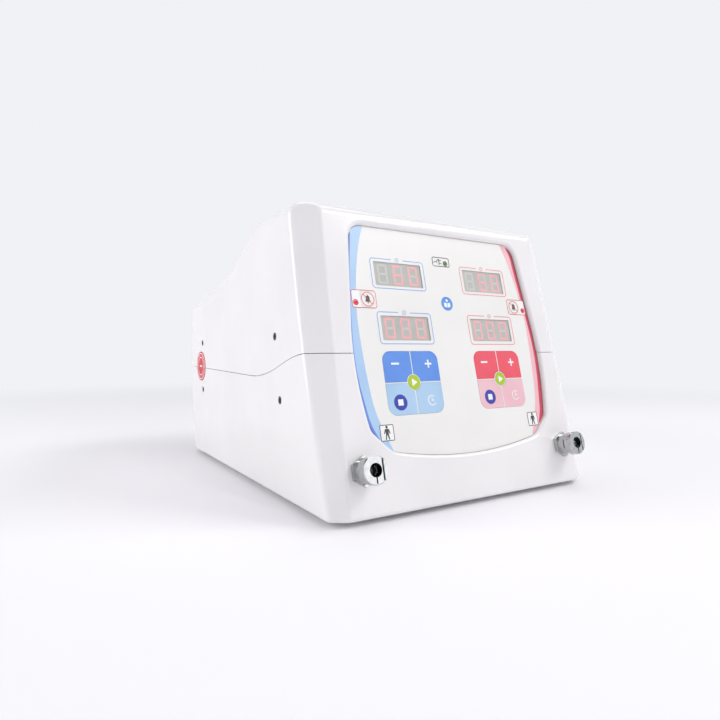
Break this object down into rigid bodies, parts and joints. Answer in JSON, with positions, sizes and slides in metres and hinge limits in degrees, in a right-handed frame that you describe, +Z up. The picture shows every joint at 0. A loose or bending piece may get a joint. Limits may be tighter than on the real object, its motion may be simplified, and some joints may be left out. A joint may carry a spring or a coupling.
{
  "type": "electric tourniquet",
  "caption": "Desktop air tourniquet console with a sloping key and display panel, hose couplings below it and a mains inlet at the back.",
  "frame": {"origin": "centre of the overall bounding box at the height of the feet's soles", "axes": "+Z up, +Y towards the back, +X to the right of someone who faces the panel"},
  "size_m": [0.2196, 0.297, 0.1905],
  "materials": {
    "housing": "glossy white moulding",
    "overlay": "satin printed film",
    "carrier": "matte",
    "window": "clear, glossy",
    "display": "grey filter",
    "key_blue": "satin print",
    "key_pale_blue": "satin print",
    "key_red": "satin print",
    "key_pale_red": "satin print",
    "key_green": "satin print",
    "key_white": "satin print",
    "lamp_red": "tinted lens",
    "lamp_green": "tinted lens",
    "nickel": "nickel plate, turned",
    "steel": "zinc plated",
    "sheet_metal": "bare sheet",
    "brass": "turned",
    "rubber": "matte black",
    "hose": "translucent silicone",
    "black_plastic": "fine texture",
    "battery_wrap": "shrink wrap",
    "circuit_board": "solder mask",
    "seal_red": "printed paper seal"
  },
  "bodies": {
    "console": {"air_tube_left": "hose", "air_tube_right": "hose", "alarm_lamps": "lamp_red", "battery_pack": "battery_wrap", "board_spacers": "brass", "chassis_plate": "sheet_metal", "coupling_left": "nickel", "coupling_nuts": "brass", "coupling_right": "nickel", "coupling_seals": "rubber", "display_board": "circuit_board", "display_minutes_left": "display", "display_minutes_right": "display", "display_pressure_left": "display", "display_pressure_right": "display", "display_windows": "window", "foot_screws": "steel", "inlet_housing": "black_plastic", "inlet_pins": "brass", "joining_plates": "steel", "key_switches": "black_plastic", "latch_springs": "steel", "lower_shell": "housing", "main_board": "circuit_board", "overlay": "overlay", "pan_screws": "steel", "panel_carrier": "carrier", "panel_standoffs": "brass", "power_lamp": "lamp_green", "power_supply": "sheet_metal", "pump_head_left": "black_plastic", "pump_head_right": "black_plastic", "pump_motor_left": "sheet_metal", "pump_motor_right": "sheet_metal", "rubber_feet": "rubber", "seal_label": "seal_red", "side_screws": "steel", "upper_shell": "housing", "valve_block_left": "black_plastic", "valve_block_right": "black_plastic"},
    "key_minus_left": {"key_minus_left": "key_blue"},
    "key_plus_left": {"key_plus_left": "key_blue"},
    "key_stop_left": {"key_stop_left": "key_pale_blue"},
    "key_timer_left": {"key_timer_left": "key_pale_blue"},
    "key_start_left": {"key_start_left": "key_green"},
    "key_mute_left": {"key_mute_left": "key_white"},
    "key_minus_right": {"key_minus_right": "key_red"},
    "key_plus_right": {"key_plus_right": "key_red"},
    "key_stop_right": {"key_stop_right": "key_pale_red"},
    "key_timer_right": {"key_timer_right": "key_pale_red"},
    "key_start_right": {"key_start_right": "key_green"},
    "key_mute_right": {"key_mute_right": "key_white"},
    "latch_left": {"latch_left": "nickel"},
    "pump_shaft_left": {"pump_shaft_left": "steel"},
    "latch_right": {"latch_right": "nickel"},
    "pump_shaft_right": {"pump_shaft_right": "steel"},
    "fuse_drawer": {"fuse_drawer": "black_plastic", "fuses": "window"},
    "rocker_switch": {"rocker_switch": "black_plastic"}
  },
  "joints": [
    {"name": "key_minus_left_press", "type": "slide", "parent": "console", "child": "key_minus_left", "axis": [0, 0.9711, -0.2389], "range_m": [0, 0.0005], "stiffness_N_per_m": 1000, "springref_m": -0.0005},
    {"name": "key_plus_left_press", "type": "slide", "parent": "console", "child": "key_plus_left", "axis": [0, 0.9711, -0.2389], "range_m": [0, 0.0005], "stiffness_N_per_m": 1000, "springref_m": -0.0005},
    {"name": "key_stop_left_press", "type": "slide", "parent": "console", "child": "key_stop_left", "axis": [0, 0.9711, -0.2389], "range_m": [0, 0.0005], "stiffness_N_per_m": 1000, "springref_m": -0.0005},
    {"name": "key_timer_left_press", "type": "slide", "parent": "console", "child": "key_timer_left", "axis": [0, 0.9711, -0.2389], "range_m": [0, 0.0005], "stiffness_N_per_m": 1000, "springref_m": -0.0005},
    {"name": "key_start_left_press", "type": "slide", "parent": "console", "child": "key_start_left", "axis": [0, 0.9711, -0.2389], "range_m": [0, 0.0005], "stiffness_N_per_m": 1000, "springref_m": -0.0005},
    {"name": "key_mute_left_press", "type": "slide", "parent": "console", "child": "key_mute_left", "axis": [0, 0.9711, -0.2389], "range_m": [0, 0.0005], "stiffness_N_per_m": 1000, "springref_m": -0.0005},
    {"name": "key_minus_right_press", "type": "slide", "parent": "console", "child": "key_minus_right", "axis": [0, 0.9711, -0.2389], "range_m": [0, 0.0005], "stiffness_N_per_m": 1000, "springref_m": -0.0005},
    {"name": "key_plus_right_press", "type": "slide", "parent": "console", "child": "key_plus_right", "axis": [0, 0.9711, -0.2389], "range_m": [0, 0.0005], "stiffness_N_per_m": 1000, "springref_m": -0.0005},
    {"name": "key_stop_right_press", "type": "slide", "parent": "console", "child": "key_stop_right", "axis": [0, 0.9711, -0.2389], "range_m": [0, 0.0005], "stiffness_N_per_m": 1000, "springref_m": -0.0005},
    {"name": "key_timer_right_press", "type": "slide", "parent": "console", "child": "key_timer_right", "axis": [0, 0.9711, -0.2389], "range_m": [0, 0.0005], "stiffness_N_per_m": 1000, "springref_m": -0.0005},
    {"name": "key_start_right_press", "type": "slide", "parent": "console", "child": "key_start_right", "axis": [0, 0.9711, -0.2389], "range_m": [0, 0.0005], "stiffness_N_per_m": 1000, "springref_m": -0.0005},
    {"name": "key_mute_right_press", "type": "slide", "parent": "console", "child": "key_mute_right", "axis": [0, 0.9711, -0.2389], "range_m": [0, 0.0005], "stiffness_N_per_m": 1000, "springref_m": -0.0005},
    {"name": "latch_left_press", "type": "slide", "parent": "console", "child": "latch_left", "axis": [-1, 0, 0], "range_m": [0, 0.001], "stiffness_N_per_m": 1500, "springref_m": -0.001},
    {"name": "pump_shaft_left_turn", "type": "hinge", "parent": "console", "child": "pump_shaft_left", "pos_m": [-0.0425, -0.04588, 0.0335], "axis": [0, 1, 0], "continuous": true},
    {"name": "latch_right_press", "type": "slide", "parent": "console", "child": "latch_right", "axis": [-1, 0, 0], "range_m": [0, 0.001], "stiffness_N_per_m": 1500, "springref_m": -0.001},
    {"name": "pump_shaft_right_turn", "type": "hinge", "parent": "console", "child": "pump_shaft_right", "pos_m": [0.0425, -0.04588, 0.0335], "axis": [0, 1, 0], "continuous": true},
    {"name": "fuse_drawer_slide", "type": "slide", "parent": "console", "child": "fuse_drawer", "axis": [0, 1, 0], "range_m": [0, 0.016]},
    {"name": "rocker_switch_tilt", "type": "hinge", "parent": "console", "child": "rocker_switch", "pos_m": [-0.0364, 0.14237, 0.043], "axis": [1, 0, 0], "range_deg": [-20, 0]}
  ]
}
